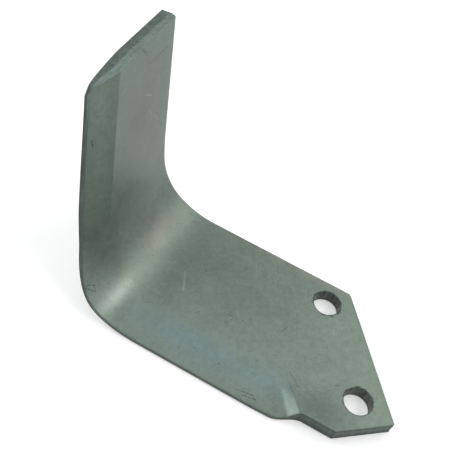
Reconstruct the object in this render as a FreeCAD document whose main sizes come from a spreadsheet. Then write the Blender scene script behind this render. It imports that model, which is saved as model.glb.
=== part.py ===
"""Rotary tiller blade: one forged bar with a bolt-on end, a bend and a bevelled cutting edge.

Object frame: origin midway between the two bolt holes on the outer face, +Y along the line of
the holes, +X towards the end of the bar, +Z towards the side the wing is bent to.
Bar frame (used inside the body): X along the bar towards the wing, Y towards the cutting edge.
"""
import FreeCAD, Part
import math
import os
import Sketcher
from FreeCAD import Placement, Rotation, Vector

os.makedirs("parts", exist_ok=True)
doc = FreeCAD.newDocument("tiller_blade")

# ---------------------------------------------------------------- driving dimensions
SIZES = (
    ("thickness", 8.0, "bar thickness"),
    ("hole_spacing", 57.0, "bolt hole centres"),
    ("hole_dia", 14.5, "bolt hole diameter"),
    ("end_margin", 14.9, "hole line to the end of the bar"),
    ("side_margin", 14.1, "front hole centre to the side cut"),
    ("end_corner", 1.2, "radius of the corner of the bolted end"),
    ("bar_angle", 38.5, "bar to the square of the bolted end, degrees"),
    ("back_edge", 35.6, "hole midpoint to the back edge"),
    ("front_edge", 43.3, "hole midpoint to the plain front edge"),
    ("bend_reach", 127.8, "hole midpoint to the corner of the inner faces"),
    ("bend_radius", 36.2, "inner radius of the bend"),
    ("bend_angle", 86.4, "angle turned by the bend, degrees"),
    ("wing_length", 119.1, "corner of the inner faces to the wing end"),
    ("tip_corner", 1.2, "radius of the back corner of the wing end"),
    ("bevel_depth", 5.8, "depth of the bevel at the cutting edge"),
    ("bevel_start", 31.2, "hole line to the start of the bevel"),
    ("bevel_step_slope", 35.0, "lean of the step at the start of the bevel, degrees"),
    ("bevel_line_bar", 26.0, "hole midpoint to the bevel line, start of the bevel"),
    ("bevel_line_bend", 29.5, "same, start of the bend"),
    ("bevel_line_heel", 18.2, "same, end of the bend"),
    ("bevel_line_tip", 12.0, "same, wing end"),
    ("edge_start", 50.0, "hole midpoint to the cutting edge, start of the bevel"),
    ("edge_bend", 50.2, "same, start of the bend"),
    ("edge_heel", 34.6, "same, end of the bend"),
    ("edge_middle", 31.6, "same, halfway up the wing"),
    ("edge_tip", 27.4, "same, wing end"),
    ("edge_flare", 3.5, "distance along the bar to where the cutting edge flares out"),
    ("edge_flare_length", 12.0, "length of the flare"),
    ("flare_radius", 16.0, "rounding of the flare"),
    ("heel_start", 7.6, "height where the cutting edge leaves the bar"),
    ("heel_end", 31.0, "height where it joins the wing"),
    ("heel_front_radius", 12.0, "outer rounding of the heel"),
    ("heel_back_radius", 34.0, "hollow rounding of the heel"),
    ("middle_height", 78.0, "height of that point of the wing"),
    ("middle_radius", 600.0, "slow curve of the wing's cutting edge"),
    ("tip_cut", 4.5, "corner taken off the cutting end of the wing"),
    ("tip_fall", 3.4, "fall of the wing end at that corner"),
    ("back_roll", 1.6, "rounding of the back edge on the inner face"),
    ("tip_rise", 0.6, "where that fall starts, above the wing end at the bar's middle"),
)
# share of the way from bevel_line_bend to bevel_line_heel at each quarter of the bend
BEND_SHARES = (0.0, 0.06, 0.32, 0.74, 1.0)
CLEAR = 6.0      # how far cutting shapes run past the metal
RISE = 3.0       # how far the bevel cutter stands above the inner face

sheet = doc.addObject("Spreadsheet::Sheet", "params")
for row, (alias, value, note) in enumerate(SIZES, start=1):
    sheet.set(f"A{row}", note)
    sheet.set(f"B{row}", str(value))
    sheet.setAlias(f"B{row}", alias)
row = len(SIZES) + 1
DERIVED = (
    ("bend_setback", "=bend_radius * tan(bend_angle / 2 * 1deg)", "corner of the faces to the bend"),
    ("bend_start", "=bend_reach - bend_setback", "start of the bend along the bar"),
    ("axis_height", "=thickness + bend_radius", "height of the bend axis"),
    ("wing_straight", "=wing_length - bend_setback", "straight length of the wing"),
)
for alias, formula, note in DERIVED:
    sheet.set(f"A{row}", note)
    sheet.set(f"B{row}", formula)
    sheet.setAlias(f"B{row}", alias)
    row += 1
doc.recompute()

body = doc.addObject("PartDesign::Body", "tiller_blade")
body.Label = "tiller_blade"


def origin_plane(role: str):
    """Return one of the body's own origin planes, found by its role."""
    for feature in body.Origin.OriginFeatures:
        if getattr(feature, "Role", "") == role:
            return feature
    raise RuntimeError(f"origin plane {role} not found")


def make_sketch(name: str, role: str, offset=None, axis=None, angle: str = ""):
    """Add a sketch on an origin plane, moved by an offset given as expressions.

    Args:
        name: object name and label.
        role: role of the origin plane.
        offset: expressions for the shift along the plane's x, y and normal, or None.
        axis: axis of the extra turn in the plane's own directions, or None.
        angle: expression of the extra turn, in degrees.

    Returns:
        The sketch object.
    """
    sketch = body.newObject("Sketcher::SketchObject", name)
    sketch.Label = name
    sketch.AttachmentSupport = [(origin_plane(role), "")]
    sketch.MapMode = "FlatFace"
    if axis is not None:
        sketch.AttachmentOffset = Placement(Vector(0, 0, 0), Rotation(Vector(*axis), 1))
        sketch.setExpression("AttachmentOffset.Rotation.Angle", f"({angle}) * 1deg")
    if offset is not None:
        for letter, text in zip("xyz", offset):
            if text:
                sketch.setExpression(f"AttachmentOffset.Base.{letter}", f"({text}) * 1mm")
    return sketch


def fix(sketch, index: int, point: int, x: str, y: str):
    """Hold one point of a sketch at expressions for its x and y."""
    now = sketch.getPoint(index, point)
    for kind, text, value in (("DistanceX", x, now.x), ("DistanceY", y, now.y)):
        number = sketch.addConstraint(Sketcher.Constraint(kind, -1, 1, index, point, value))
        sketch.setExpression(f"Constraints[{number}]", f"({text}) * 1mm")


def number_of(sketch, text: str) -> float:
    """Work out an expression of the driving dimensions."""
    result = sketch.evalExpression(text)
    return float(getattr(result, "Value", result))


def line(sketch, start, end) -> int:
    """Add a straight line and return its index."""
    return sketch.addGeometry(Part.LineSegment(Vector(*start, 0), Vector(*end, 0)), False)


def outline(sketch, corners):
    """Add a closed outline with its corners held at expressions, some of them rounded.

    Args:
        sketch: the sketch to draw in.
        corners: (x expression, y expression) for each corner, followed by the expression of
            its radius where the corner is rounded.
    """
    total = len(corners)
    points = [Vector(number_of(sketch, c[0]), number_of(sketch, c[1]), 0) for c in corners]
    arrive, leave, centres = [], [], []
    for i, corner in enumerate(corners):
        back = (points[i - 1] - points[i]).normalize()
        ahead = (points[(i + 1) % total] - points[i]).normalize()
        if len(corner) == 2:
            arrive.append(points[i])
            leave.append(points[i])
            centres.append(None)
            continue
        half = back.getAngle(ahead) / 2
        radius = number_of(sketch, corner[2])
        setback = radius / math.tan(half)
        arrive.append(points[i] + back * setback)
        leave.append(points[i] + ahead * setback)
        centres.append(points[i] + (back + ahead).normalize() * (radius / math.sin(half)))
    sides = [line(sketch, leave[i][:2], arrive[(i + 1) % total][:2]) for i in range(total)]
    for i, corner in enumerate(corners):
        before, after = sides[i - 1], sides[i]
        if centres[i] is None:
            sketch.addConstraint(Sketcher.Constraint("Coincident", before, 2, after, 1))
            fix(sketch, after, 1, corner[0], corner[1])
            continue
        left_turn = (points[i] - points[i - 1]).cross(points[(i + 1) % total] - points[i]).z > 0
        first, last = (arrive[i], leave[i]) if left_turn else (leave[i], arrive[i])
        angles = [math.atan2(p.y - centres[i].y, p.x - centres[i].x) for p in (first, last)]
        radius = number_of(sketch, corner[2])
        circle = Part.Circle(centres[i], Vector(0, 0, 1), radius)
        arc_index = sketch.addGeometry(Part.ArcOfCircle(circle, *angles), False)
        mark = sketch.addGeometry(Part.Point(points[i]), True)
        ends = (1, 2) if left_turn else (2, 1)
        for link in (
            ("Tangent", before, 2, arc_index, ends[0]), ("Tangent", arc_index, ends[1], after, 1),
            ("PointOnObject", mark, 1, before), ("PointOnObject", mark, 1, after),
        ):
            sketch.addConstraint(Sketcher.Constraint(*link))
        fix(sketch, mark, 1, corner[0], corner[1])
        number = sketch.addConstraint(Sketcher.Constraint("Radius", arc_index, radius))
        sketch.setExpression(f"Constraints[{number}]", f"({corner[2]}) * 1mm")


def checked(feature, before: float, adds: bool):
    """Recompute and make sure a feature changed the body's volume the right way."""
    doc.recompute()
    after = feature.Shape.Volume
    if (after > before) != adds or abs(after - before) < 1e-3:
        raise RuntimeError(f"{feature.Name}: volume {before:.1f} -> {after:.1f}")
    return after


# ---------------------------------------------------------------- bent bar
profile = make_sketch("bar_profile", "XZ_Plane", offset=("", "", "params.back_edge"))
S = "params."
size = {alias: value for alias, value, note in SIZES}
turn = math.radians(size["bend_angle"])
inner = size["bend_radius"]
outer = inner + size["thickness"]
axis = Vector(size["bend_reach"] - inner * math.tan(turn / 2), outer, 0)
lift = Vector(math.cos(turn), math.sin(turn), 0) * (size["wing_length"] - inner * math.tan(turn / 2))
spoke = Vector(math.sin(turn), -math.cos(turn), 0)
wing_foot = (axis + spoke * outer, axis + spoke * inner)
wing_head = (wing_foot[0] + lift, wing_foot[1] + lift)
bar_head = (Vector(axis.x, 0, 0), Vector(axis.x, size["thickness"], 0))
bar_foot = (Vector(-size["hole_spacing"], 0, 0), Vector(-size["hole_spacing"], size["thickness"], 0))


def segment(start, end) -> int:
    """Add a straight line of the profile and return its index."""
    return profile.addGeometry(Part.LineSegment(start, end), False)


def arc(radius: float) -> int:
    """Add an arc of the profile round the bend axis and return its index."""
    circle = Part.Circle(axis, Vector(0, 0, 1), radius)
    return profile.addGeometry(Part.ArcOfCircle(circle, -math.pi / 2, turn - math.pi / 2), False)


bar_low = segment(bar_foot[0], bar_head[0])
bend_out = arc(outer)
wing_out = segment(wing_foot[0], wing_head[0])
wing_end = segment(wing_head[0], wing_head[1])
wing_in = segment(wing_head[1], wing_foot[1])
bend_in = arc(inner)
bar_top = segment(bar_head[1], bar_foot[1])
bar_end = segment(bar_foot[1], bar_foot[0])
joins = (
    ("Tangent", bar_low, 2, bend_out, 1), ("Tangent", bend_out, 2, wing_out, 1),
    ("Coincident", wing_out, 2, wing_end, 1), ("Coincident", wing_end, 2, wing_in, 1),
    ("Tangent", wing_in, 2, bend_in, 2), ("Tangent", bend_in, 1, bar_top, 1),
    ("Coincident", bar_top, 2, bar_end, 1), ("Coincident", bar_end, 2, bar_low, 1),
    ("Coincident", bend_in, 3, bend_out, 3), ("Horizontal", bar_low), ("Vertical", bar_end),
    ("Perpendicular", wing_in, wing_end),
)
for join in joins:
    profile.addConstraint(Sketcher.Constraint(*join))
held = (
    (("DistanceY", -1, 1, bar_low, 1, 0.0), "0mm"),
    (("DistanceX", -1, 1, bar_low, 1, bar_foot[0].x), f"-({S}hole_spacing) * 1mm"),
    (("DistanceX", -1, 1, bend_out, 3, axis.x), f"{S}bend_start * 1mm"),
    (("Radius", bend_in, inner), f"{S}bend_radius * 1mm"),
    (("Distance", wing_end, size["thickness"]), f"{S}thickness * 1mm"),
    (("Angle", wing_out, turn), f"{S}bend_angle * 1deg"),
    (("Distance", wing_in, lift.Length), f"{S}wing_straight * 1mm"),
)
for spec, text in held:
    number = profile.addConstraint(Sketcher.Constraint(*spec))
    if text != "0mm":
        profile.setExpression(f"Constraints[{number}]", text)
doc.recompute()
bar = body.newObject("PartDesign::Pad", "bent_bar")
bar.Profile = profile
bar.Reversed = True
bar.setExpression("Length", f"({S}back_edge + {S}edge_bend + 2) * 1mm")
volume = checked(bar, 0.0, True)

# ---------------------------------------------------------------- bevel along the cutting edge


def bevel_section(name: str, line_text: str, edge_text: str, offset, angle: str):
    """Draw the three-sided section of the bevel cutter at one place along the bar.

    The sketch origin is the bend axis (or the same height off the straight parts).

    Args:
        name: sketch name.
        line_text: expression of the bevel line's distance across the bar.
        edge_text: expression of the cutting edge's distance across the bar.
        offset: expressions of the place of the section (height and distance along).
        angle: expression of the turn round the bend axis, in degrees.

    Returns:
        The sketch.
    """
    sketch = make_sketch(name, "YZ_Plane", ("", offset[0], offset[1]), (1, 0, 0), f"-({angle})")
    slope = line(sketch, (20, -33), (60, -46))
    side = line(sketch, (60, -46), (60, -33))
    top = line(sketch, (60, -33), (20, -33))
    on_face = sketch.addGeometry(Part.Point(Vector(29, -36, 0)), True)
    at_edge = sketch.addGeometry(Part.Point(Vector(50, -42, 0)), True)
    for a, b in ((slope, side), (side, top), (top, slope)):
        sketch.addConstraint(Sketcher.Constraint("Coincident", a, 2, b, 1))
    sketch.addConstraint(Sketcher.Constraint("Vertical", side))
    sketch.addConstraint(Sketcher.Constraint("Horizontal", top))
    sketch.addConstraint(Sketcher.Constraint("PointOnObject", on_face, 1, slope))
    sketch.addConstraint(Sketcher.Constraint("PointOnObject", at_edge, 1, slope))
    fix(sketch, on_face, 1, line_text, f"-{S}bend_radius")
    fix(sketch, at_edge, 1, edge_text, f"-({S}bend_radius + {S}bevel_depth)")
    fix(sketch, side, 2, f"({edge_text}) + {CLEAR}", f"-({S}bend_radius) + {RISE}")
    doc.recompute()
    return sketch


def blend(first: str, last: str, share: float) -> str:
    """Return the expression a share of the way from one size to another."""
    return f"{S}{first} + ({S}{last} - {S}{first}) * {share}"


def cut_bevel(name: str, sections, ruled: bool, before: float) -> float:
    """Cut one stretch of the bevel through its sections."""
    loft = body.newObject("PartDesign::SubtractiveLoft", name)
    loft.Profile = sections[0]
    loft.Sections = list(sections[1:])
    loft.Ruled = ruled
    loft.Closed = False
    return checked(loft, before, False)


bar_place = (f"{S}axis_height", f"{S}edge_flare - 4")
bend_place = (f"{S}axis_height", f"{S}bend_start")
bar_a = bevel_section("bevel_bar_start", f"{S}bevel_line_bar", f"{S}edge_start", bar_place, "0")
bar_b = bevel_section("bevel_bar_end", f"{S}bevel_line_bend", f"{S}edge_bend", bend_place, "0")
volume = cut_bevel("bevel_on_bar", (bar_a, bar_b), True, volume)

bend_sections = []
for quarter, share in enumerate(BEND_SHARES):
    bend_sections.append(bevel_section(
        f"bevel_bend_{quarter}", blend("bevel_line_bend", "bevel_line_heel", share),
        blend("edge_bend", "edge_heel", share), bend_place, f"{S}bend_angle * {quarter / 4}"))
volume = cut_bevel("bevel_on_bend", bend_sections, False, volume)

wing_run = f"({S}wing_straight + 1)"
tip_place = (
    f"{S}axis_height + {wing_run} * sin({S}bend_angle * 1deg)",
    f"{S}bend_start + {wing_run} * cos({S}bend_angle * 1deg)",
)
wing_a = bevel_section(
    "bevel_wing_start", f"{S}bevel_line_heel", f"{S}edge_heel", bend_place, f"{S}bend_angle")
wing_b = bevel_section(
    "bevel_wing_end", f"{S}bevel_line_tip", f"{S}edge_tip", tip_place, f"{S}bend_angle")
volume = cut_bevel("bevel_on_wing", (wing_a, wing_b), True, volume)

# ---------------------------------------------------------------- full-thickness bolted end
mount_turn = f"{S}bar_angle - 180"
step = make_sketch("bevel_step", "XY_Plane", ("", "", f"{S}thickness"), (0, 0, 1), mount_turn)
outline(step, (
    (f"-{S}bevel_start", "-2"),
    (f"-{S}bevel_start", f"-({S}hole_spacing)"),
    (f"-{S}hole_dia / 2", f"-({S}hole_spacing)"),
    (f"-{S}hole_dia / 2", "-2"),
))
doc.recompute()
land = body.newObject("PartDesign::Pad", "bolted_land")
land.Profile = step
land.Reversed = True
land.setExpression("Length", f"{S}thickness * 1mm")
land.setExpression("TaperAngle", f"{S}bevel_step_slope * 1deg")
volume = checked(land, volume, True)

# ---------------------------------------------------------------- outline of the bar
front = make_sketch("front_outline", "XY_Plane")
flare_end = f"{S}edge_flare + {S}edge_flare_length"
outline(front, (
    (f"-({S}hole_spacing) - 20", f"{S}front_edge"),
    (f"{S}edge_flare", f"{S}front_edge", f"{S}flare_radius / 4"),
    (flare_end, f"{S}edge_start", f"{S}flare_radius"),
    (f"{S}bend_start", f"{S}edge_bend"),
    (f"{S}bend_reach + 30", f"{S}edge_bend"),
    (f"{S}bend_reach + 30", f"{S}edge_bend + {S}hole_spacing"),
    (f"-({S}hole_spacing) - 20", f"{S}edge_bend + {S}hole_spacing"),
))
doc.recompute()
front_cut = body.newObject("PartDesign::Pocket", "front_cut")
front_cut.Profile = front
front_cut.Type = "ThroughAll"
front_cut.Midplane = True
volume = checked(front_cut, volume, False)

ends = make_sketch("end_outline", "XY_Plane", axis=(0, 0, 1), angle=mount_turn)
side_y = f"-({S}hole_spacing / 2 + {S}side_margin)"
outline(ends, (
    (f"{S}end_margin", f"{S}hole_spacing + 20"),
    (f"{S}end_margin", side_y),
    (f"-{S}hole_spacing", side_y),
    (f"-{S}hole_spacing", f"-({S}hole_spacing) * 2"),
    (f"{S}end_margin + {S}hole_spacing * 2", f"-({S}hole_spacing) * 2"),
    (f"{S}end_margin + {S}hole_spacing * 2", f"{S}hole_spacing + 20"),
))
doc.recompute()
end_cut = body.newObject("PartDesign::Pocket", "end_cut")
end_cut.Profile = ends
end_cut.Type = "ThroughAll"
end_cut.Midplane = True
volume = checked(end_cut, volume, False)

# ---------------------------------------------------------------- outline of the wing
wing = make_sketch("wing_outline", "YZ_Plane", ("", "", f"{S}bend_start - 4"))
tip_z = f"({S}axis_height + {S}wing_straight * sin({S}bend_angle * 1deg)" \
        f" - {S}bend_radius * cos({S}bend_angle * 1deg))"
outline(wing, (
    (f"{S}edge_bend", "-8"),
    (f"{S}edge_bend", f"{S}heel_start", f"{S}heel_front_radius"),
    (f"{S}edge_heel", f"{S}heel_end", f"{S}heel_back_radius"),
    (f"{S}edge_middle", f"{S}middle_height", f"{S}middle_radius"),
    (f"{S}edge_tip", f"{tip_z} - {S}tip_fall - {S}tip_cut", f"{S}tip_corner * 3"),
    (f"{S}edge_tip - {S}tip_cut", f"{tip_z} - {S}tip_fall", f"{S}tip_corner * 4"),
    ("0", f"{tip_z} + {S}tip_rise"),
    ("0", f"{tip_z} + 14"),
    (f"{S}edge_bend + 14", f"{tip_z} + 14"),
    (f"{S}edge_bend + 14", "-8"),
))
doc.recompute()
wing_cut = body.newObject("PartDesign::Pocket", "wing_cut")
wing_cut.Profile = wing
wing_cut.Type = "ThroughAll"
wing_cut.Reversed = True
volume = checked(wing_cut, volume, False)

# ---------------------------------------------------------------- bolt holes
holes = make_sketch("bolt_holes", "XY_Plane", axis=(0, 0, 1), angle=mount_turn)
for sign in (1, -1):
    circle = Part.Circle(Vector(0, 28.5 * sign, 0), Vector(0, 0, 1), 7.4)
    index = holes.addGeometry(circle, False)
    number = holes.addConstraint(Sketcher.Constraint("Diameter", index, 14.8))
    holes.setExpression(f"Constraints[{number}]", f"{S}hole_dia * 1mm")
    fix(holes, index, 3, "0", f"{S}hole_spacing / 2 * {sign}")
doc.recompute()
hole_cut = body.newObject("PartDesign::Pocket", "bolt_hole_cut")
hole_cut.Profile = holes
hole_cut.Type = "ThroughAll"
hole_cut.Midplane = True
volume = checked(hole_cut, volume, False)

# ---------------------------------------------------------------- rounded corners


def corner_edges(shape, test) -> list:
    """Name the edges of a shape whose two ends both pass a test."""
    names = []
    for number, edge in enumerate(shape.Edges, start=1):
        if len(edge.Vertexes) == 2 and all(test(v.Point) for v in edge.Vertexes):
            names.append(f"Edge{number}")
    return names


def round_edges(name: str, radius: str, test):
    """Add a fillet with a radius alias to the edges that pass a test."""
    names = corner_edges(body.Tip.Shape, test)
    if not names:
        raise RuntimeError(f"{name}: no edge found")
    base = body.Tip
    fillet = body.newObject("PartDesign::Fillet", name)
    fillet.Base = (base, names)
    fillet.setExpression("Radius", f"{S}{radius} * 1mm")
    doc.recompute()
    return fillet


back = -sheet.get("back_edge")
axis_z = number_of(profile, f"{S}axis_height")
bend_x = number_of(profile, f"{S}bend_start")


def on_inner_back_edge(point) -> bool:
    """Tell whether a point lies on the inner face along the back edge."""
    if abs(point.y - back) > 0.01:
        return False
    along, below = point.x - bend_x, axis_z - point.z
    past = along * math.cos(turn) - below * math.sin(turn)
    if past > 0:
        reach = along * math.sin(turn) + below * math.cos(turn)
    else:
        reach = math.hypot(max(along, 0.0), below)
    return abs(reach - inner) < 0.01


round_edges("back_edge_roll", "back_roll", on_inner_back_edge)
tip_height = body.Tip.Shape.BoundBox.ZMax
round_edges("wing_tip_round", "tip_corner", lambda p: abs(p.y - back) < 0.01 and p.z > tip_height - 2)

mount_angle = sheet.get("bar_angle") - 180
corner = Rotation(Vector(0, 0, 1), mount_angle).multVec(Vector(
    sheet.get("end_margin"), -(sheet.get("hole_spacing") / 2 + sheet.get("side_margin")), 0))
round_edges("end_corner_round", "end_corner",
            lambda p: abs(p.x - corner.x) < 0.01 and abs(p.y - corner.y) < 0.01)

# ---------------------------------------------------------------- place, check and write
body.setExpression("Placement.Rotation.Angle", "(180 - params.bar_angle) * 1deg")
doc.recompute()
for item in doc.Objects:
    bad = [word for word in item.State if word in ("Invalid", "Error")]
    if bad:
        raise RuntimeError(f"{item.Name}: {bad}")
    if isinstance(item, FreeCAD.DocumentObject) and item.isDerivedFrom("PartDesign::Feature"):
        if item.Shape.isNull() or not item.Shape.isValid():
            raise RuntimeError(f"{item.Name}: shape not valid")
if len(body.Shape.Solids) != 1:
    raise RuntimeError(f"expected one solid, got {len(body.Shape.Solids)}")
body.Shape.exportStep("parts/tiller_blade.step")
box = body.Shape.BoundBox
print(f"tiller_blade {body.Shape.Volume:.0f} mm3, box {box.XMin:.1f} {box.YMin:.1f} {box.ZMin:.1f}"
      f" to {box.XMax:.1f} {box.YMax:.1f} {box.ZMax:.1f}, {len(body.Shape.Faces)} faces")
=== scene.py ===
"""Rotary tiller blade: one forged steel bar dressed for a plain studio.

The blade is one surface worked out from the same sizes as the solid model: a flat bolted end,
a bend, and a wing, with a bevel forged along the cutting edge. Lengths in the shape classes are
millimetres; `BarFrame.place` turns them into metres in the row frame.
"""

from __future__ import annotations

import logging
import math
from dataclasses import dataclass, field

import bpy
import numpy as np
from mathutils import Matrix, Vector

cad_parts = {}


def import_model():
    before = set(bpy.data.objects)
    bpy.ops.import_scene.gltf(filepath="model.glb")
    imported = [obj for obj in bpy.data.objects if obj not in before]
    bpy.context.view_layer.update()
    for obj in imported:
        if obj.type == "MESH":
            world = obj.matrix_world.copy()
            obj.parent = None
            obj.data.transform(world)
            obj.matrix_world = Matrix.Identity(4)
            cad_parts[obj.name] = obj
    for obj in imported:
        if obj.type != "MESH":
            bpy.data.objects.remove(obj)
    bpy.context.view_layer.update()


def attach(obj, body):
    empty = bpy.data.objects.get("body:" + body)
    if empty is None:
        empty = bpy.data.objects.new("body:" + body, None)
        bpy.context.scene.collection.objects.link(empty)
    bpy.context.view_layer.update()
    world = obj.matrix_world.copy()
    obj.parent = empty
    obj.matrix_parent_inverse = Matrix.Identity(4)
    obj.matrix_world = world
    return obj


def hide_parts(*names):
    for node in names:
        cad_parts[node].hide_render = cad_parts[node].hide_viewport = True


LOG = logging.getLogger("tiller_blade")
NODE = "tiller_blade"
BODY = "root"
MM = 0.001
UV_PER_MM = 0.004


def smooth_step(value: np.ndarray, start: float, end: float) -> np.ndarray:
    """Ease from 0 to 1 between two values: 3t^2 - 2t^3.

    Args:
        value: numbers to ease.
        start: value that gives 0.
        end: value that gives 1.

    Returns:
        The eased numbers.
    """
    t = np.clip((np.asarray(value, float) - start) / (end - start), 0.0, 1.0)
    return t * t * (3.0 - 2.0 * t)


def soft_low(a: np.ndarray, b: np.ndarray, blend: float) -> np.ndarray:
    """Lower of two values with a rounded change-over: (a + b - sqrt((a - b)^2 + blend^2)) / 2."""
    return (a + b - np.sqrt((a - b) ** 2 + blend**2)) / 2.0


def soft_high(a: np.ndarray, b: np.ndarray, blend: float) -> np.ndarray:
    """Higher of two values with a rounded change-over, the mirror of soft_low."""
    return -soft_low(-a, -b, blend)


def graded(count: int, finer: float = 0.93) -> np.ndarray:
    """Numbers from 0 to 1 that crowd towards both ends: t - finer * sin(2 pi t) / (2 pi).

    Args:
        count: how many numbers.
        finer: 0 for even spacing, towards 1 for very close spacing at the ends.

    Returns:
        The rising numbers.
    """
    t = np.linspace(0.0, 1.0, count)
    return t - finer * np.sin(2.0 * np.pi * t) / (2.0 * np.pi)


def ripple(x: np.ndarray, y: np.ndarray, size: float, seed: int) -> np.ndarray:
    """Smooth irregular field of about unit height: a sum of seeded sine waves over x and y.

    Args:
        x: first coordinate.
        y: second coordinate.
        size: length of the main waves, in the units of x and y.
        seed: seed of the wave directions and phases.

    Returns:
        The field, with the shape of x and y together.
    """
    rng = np.random.default_rng(seed)
    total = np.zeros(np.broadcast(x, y).shape)
    for octave in range(9):
        turn = rng.uniform(0.0, 2.0 * np.pi)
        wave = 2.0 * np.pi / (size * rng.uniform(0.45, 1.5))
        phase = rng.uniform(0.0, 2.0 * np.pi)
        total = total + np.sin((np.cos(turn) * x + np.sin(turn) * y) * wave + phase)
    return total / 3.0


@dataclass(frozen=True)
class BarFrame:
    """The bar's own coordinates: run along the bar, across it, and depth above its outer face.

    Run follows the inner face and is counted from the middle of the bolt holes; across is
    positive towards the cutting edge.
    """

    thickness: float = 8.0
    bar_angle: float = 38.5
    bend_reach: float = 127.8
    bend_radius: float = 36.2
    bend_angle: float = 86.4
    wing_length: float = 119.1
    foot_press: float = 0.55
    crown_press: float = 0.45

    @property
    def turn(self) -> float:
        """Angle of the bend in radians."""
        return math.radians(self.bend_angle)

    @property
    def setback(self) -> float:
        """Distance from the corner of the inner faces to the bend."""
        return self.bend_radius * math.tan(self.turn / 2.0)

    @property
    def bend_start(self) -> float:
        """Run where the bend starts."""
        return self.bend_reach - self.setback

    @property
    def bend_end(self) -> float:
        """Run where the wing starts."""
        return self.bend_start + self.bend_radius * self.turn

    @property
    def wing_end(self) -> float:
        """Run of the wing's end."""
        return self.bend_end + self.wing_length - self.setback

    @property
    def heading(self) -> float:
        """Direction of the bar in the row frame, in radians."""
        return math.radians(180.0 - self.bar_angle)

    def to_land(self, run: np.ndarray, across: np.ndarray) -> tuple[np.ndarray, np.ndarray]:
        """Turn bar coordinates of the flat end into row X and Y, in millimetres."""
        c, s = math.cos(self.heading), math.sin(self.heading)
        return c * run - s * across, s * run + c * across

    def from_land(self, x: np.ndarray, y: np.ndarray) -> tuple[np.ndarray, np.ndarray]:
        """Turn row X and Y, in millimetres, into run and across of the flat end."""
        c, s = math.cos(self.heading), math.sin(self.heading)
        return c * x + s * y, -s * x + c * y

    def bent(self, run: np.ndarray, depth: np.ndarray) -> tuple[np.ndarray, np.ndarray]:
        """Bend the bar: distance along the flat end and height above its outer face.

        Before the bend the point stays put. In the bend it turns about the axis at radius
        (bend_radius + thickness - depth). After it, it runs on in the turned direction.

        Args:
            run: distance along the bar.
            depth: height above the outer face.

        Returns:
            Distance along the flat end and height, in millimetres.
        """
        outer = self.bend_radius + self.thickness
        angle = np.clip((run - self.bend_start) / self.bend_radius, 0.0, self.turn)
        foot = np.exp(-(((run - self.bend_end + 4.0) / 9.0) ** 2))
        crown = np.exp(-(((run - self.bend_end + 28.0) / 9.0) ** 2))
        depth = depth + self.foot_press * foot - self.crown_press * crown
        past = np.maximum(run - self.bend_end, 0.0)
        along = np.minimum(run, self.bend_start) + (outer - depth) * np.sin(angle)
        height = outer - (outer - depth) * np.cos(angle)
        return along + past * math.cos(self.turn), height + past * math.sin(self.turn)

    def place(self, run: np.ndarray, across: np.ndarray, depth: np.ndarray) -> np.ndarray:
        """Put points of the bar in the row frame, in metres.

        Args:
            run: distance along the bar, in millimetres.
            across: distance across it, in millimetres.
            depth: height above the outer face, in millimetres.

        Returns:
            Array of points, with a last axis of 3.
        """
        along, height = self.bent(run, depth)
        x, y = self.to_land(along, across)
        return np.stack([x, y, height], axis=-1) * MM


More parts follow.
